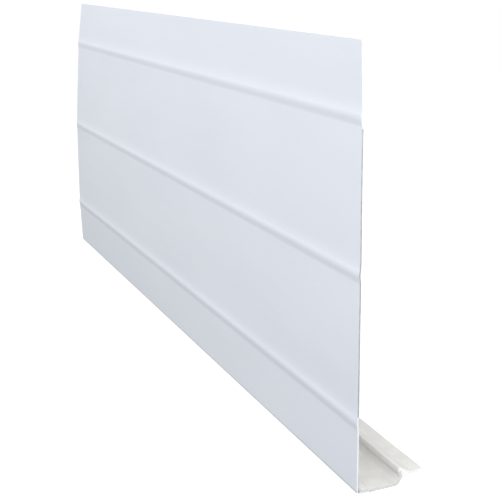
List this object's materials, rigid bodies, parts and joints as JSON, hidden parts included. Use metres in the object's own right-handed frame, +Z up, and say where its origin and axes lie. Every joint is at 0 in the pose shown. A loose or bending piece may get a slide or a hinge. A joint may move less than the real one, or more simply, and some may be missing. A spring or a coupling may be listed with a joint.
{
  "type": "door sweep",
  "caption": "Ribbed white face panel with a soft cream channel seal and a flared lip along its foot, for the bottom of a thin door leaf.",
  "frame": {"origin": "middle of the flat strip of the web that the leaf's lower edge sits on, halfway along the sweep", "axes": "+X along the door, +Y from the face panel back towards the door leaf and the lip, +Z up"},
  "size_m": [0.3556, 0.0279, 0.1524],
  "materials": {
    "coated_sheet": "satin",
    "vinyl": "matte",
    "adhesive": "matte",
    "foam_tape": "matte",
    "release_liner": "satin"
  },
  "bodies": {
    "carrier": {"face_panel": "coated_sheet", "bond_film": "adhesive", "seal_base": "vinyl", "lower_tape": "foam_tape", "upper_tape": "foam_tape", "lower_liner": "release_liner", "upper_liner": "release_liner"},
    "hook": {"seal_hook": "vinyl"},
    "lip": {"seal_lip": "vinyl"}
  },
  "joints": [
    {"name": "hook_flex", "type": "hinge", "parent": "carrier", "child": "hook", "pos_m": [0, 0.0056, -0.0004], "axis": [-1, 0, 0], "range_deg": [-4, 20], "stiffness_Nm_per_rad": 0.08},
    {"name": "lip_flex", "type": "hinge", "parent": "hook", "child": "lip", "pos_m": [0, 0.00845, 0.0045], "axis": [1, 0, 0], "range_deg": [-20, 25], "stiffness_Nm_per_rad": 0.05}
  ]
}
